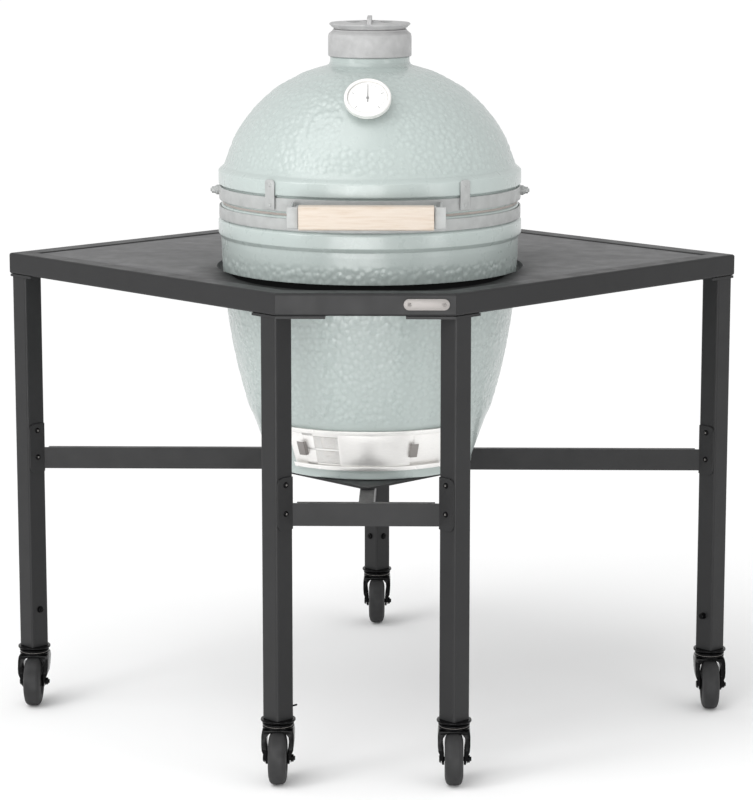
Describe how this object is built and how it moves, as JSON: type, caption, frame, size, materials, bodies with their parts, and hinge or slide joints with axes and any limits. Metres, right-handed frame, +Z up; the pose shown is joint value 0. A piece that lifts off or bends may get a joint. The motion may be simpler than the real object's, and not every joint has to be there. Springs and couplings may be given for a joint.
{
  "type": "kamado grill in a corner work table",
  "caption": "Ceramic kamado charcoal grill standing in a corner work table with round cut-out, legs on swivel casters, hinged lid and sliding draft door.",
  "frame": {"origin": "middle of the footprint on the floor", "axes": "+Z up, +X to the right as the cook faces the grill, the cook stands at -Y and the back corner points to +Y"},
  "size_m": [1.3798, 1.2586, 1.342],
  "materials": {
    "frame_paint": "fine-textured anthracite powder coat",
    "panel_steel": "satin grey coated sheet",
    "badge_steel": "brushed, blank",
    "caster_metal": "gloss black",
    "caster_tread": "dark grey rubber",
    "glaze": "pale green pebbled glaze",
    "felt": "pressed felt",
    "firebrick": "unglazed fired clay",
    "grate_iron": "dark cast iron",
    "stainless": "brushed stainless steel",
    "band_steel": "pale grey coated steel",
    "handle_wood": "pale bleached wood",
    "dial_white": "white enamel dial",
    "vent_iron": "pale grey coated iron"
  },
  "bodies": {
    "root": {"top_frame_side_left": "frame_paint", "top_frame_front": "frame_paint", "top_frame_side_right": "frame_paint", "top_frame_back_right": "frame_paint", "top_frame_back_left": "frame_paint", "cross_stretcher": "frame_paint", "front_stretcher": "frame_paint", "spine_rail_front": "frame_paint", "spine_rail_back": "frame_paint", "base_shelf": "frame_paint", "leg_left": "frame_paint", "leg_right": "frame_paint", "leg_back": "frame_paint", "leg_front_left": "frame_paint", "leg_front_right": "frame_paint", "top_panel": "panel_steel", "name_badge": "badge_steel", "caster_mount_left": "caster_metal", "caster_mount_right": "caster_metal", "caster_mount_back": "caster_metal", "caster_mount_front_left": "caster_metal", "caster_mount_front_right": "caster_metal", "grill_base": "glaze", "base_gasket": "felt", "firebox": "firebrick", "fire_ring": "firebrick", "charcoal_grate": "grate_iron", "cooking_grid": "stainless", "draft_frame": "stainless", "hinge_pin": "stainless", "hinge_spring": "stainless", "lower_band": "band_steel"},
    "lid": {"grill_dome": "glaze", "lid_gasket": "felt", "upper_band": "band_steel", "handle_bracket": "band_steel", "wooden_handle": "handle_wood", "thermometer_case": "stainless", "thermometer_dial": "dial_white", "vent_cap": "vent_iron"},
    "needle": {"thermometer_needle": "grate_iron"},
    "vent_cover": {"vent_cover": "vent_iron"},
    "vent_wheel": {"vent_wheel": "vent_iron"},
    "draft_door": {"draft_door": "stainless"},
    "draft_screen": {"draft_screen": "stainless"},
    "caster_left": {"caster_fork_left": "caster_metal", "caster_axle_left": "caster_metal"},
    "wheel_left": {"caster_wheel_left": "caster_tread"},
    "caster_right": {"caster_fork_right": "caster_metal", "caster_axle_right": "caster_metal"},
    "wheel_right": {"caster_wheel_right": "caster_tread"},
    "caster_back": {"caster_fork_back": "caster_metal", "caster_axle_back": "caster_metal"},
    "wheel_back": {"caster_wheel_back": "caster_tread"},
    "caster_front_left": {"caster_fork_front_left": "caster_metal", "caster_axle_front_left": "caster_metal"},
    "wheel_front_left": {"caster_wheel_front_left": "caster_tread"},
    "caster_front_right": {"caster_fork_front_right": "caster_metal", "caster_axle_front_right": "caster_metal"},
    "wheel_front_right": {"caster_wheel_front_right": "caster_tread"}
  },
  "joints": [
    {"name": "lid_hinge", "type": "hinge", "parent": "root", "child": "lid", "pos_m": [0, 0.10641, 1.002], "axis": [-1, 0, 0], "range_deg": [0, 75]},
    {"name": "needle_turn", "type": "hinge", "parent": "lid", "child": "needle", "pos_m": [0, -0.40659, 1.209], "axis": [0, -0.7431, 0.6691], "range_deg": [-135, 135]},
    {"name": "vent_cover_swing", "type": "hinge", "parent": "lid", "child": "vent_cover", "pos_m": [0, -0.13759, 1.32], "axis": [0, 0, 1], "range_deg": [0, 100]},
    {"name": "vent_wheel_turn", "type": "hinge", "parent": "vent_cover", "child": "vent_wheel", "pos_m": [0, -0.19759, 1.33], "axis": [0, 0, 1], "range_deg": [0, 60]},
    {"name": "draft_door_slide", "type": "hinge", "parent": "root", "child": "draft_door", "pos_m": [0, -0.19759, 0.567], "axis": [0, 0, 1], "range_deg": [-14, 19]},
    {"name": "draft_screen_slide", "type": "hinge", "parent": "root", "child": "draft_screen", "pos_m": [0, -0.19759, 0.567], "axis": [0, 0, 1], "range_deg": [0, 13]},
    {"name": "caster_swivel_left", "type": "hinge", "parent": "root", "child": "caster_left", "pos_m": [-0.65747, -0.06059, 0.1], "axis": [0, 0, 1], "continuous": true},
    {"name": "wheel_spin_left", "type": "hinge", "parent": "caster_left", "child": "wheel_left", "pos_m": [-0.65747, -0.08059, 0.047], "axis": [1, 0, 0], "continuous": true},
    {"name": "caster_swivel_right", "type": "hinge", "parent": "root", "child": "caster_right", "pos_m": [0.65747, -0.06059, 0.1], "axis": [0, 0, 1], "continuous": true},
    {"name": "wheel_spin_right", "type": "hinge", "parent": "caster_right", "child": "wheel_right", "pos_m": [0.65747, -0.08059, 0.047], "axis": [1, 0, 0], "continuous": true},
    {"name": "caster_swivel_back", "type": "hinge", "parent": "root", "child": "caster_back", "pos_m": [0, 0.59688, 0.1], "axis": [0, 0, 1], "continuous": true},
    {"name": "wheel_spin_back", "type": "hinge", "parent": "caster_back", "child": "wheel_back", "pos_m": [0, 0.57688, 0.047], "axis": [1, 0, 0], "continuous": true},
    {"name": "caster_swivel_front_left", "type": "hinge", "parent": "root", "child": "caster_front_left", "pos_m": [-0.157, -0.56231, 0.1], "axis": [0, 0, 1], "continuous": true},
    {"name": "wheel_spin_front_left", "type": "hinge", "parent": "caster_front_left", "child": "wheel_front_left", "pos_m": [-0.157, -0.5823, 0.047], "axis": [1, 0, 0], "continuous": true},
    {"name": "caster_swivel_front_right", "type": "hinge", "parent": "root", "child": "caster_front_right", "pos_m": [0.157, -0.56231, 0.1], "axis": [0, 0, 1], "continuous": true},
    {"name": "wheel_spin_front_right", "type": "hinge", "parent": "caster_front_right", "child": "wheel_front_right", "pos_m": [0.157, -0.5823, 0.047], "axis": [1, 0, 0], "continuous": true}
  ]
}
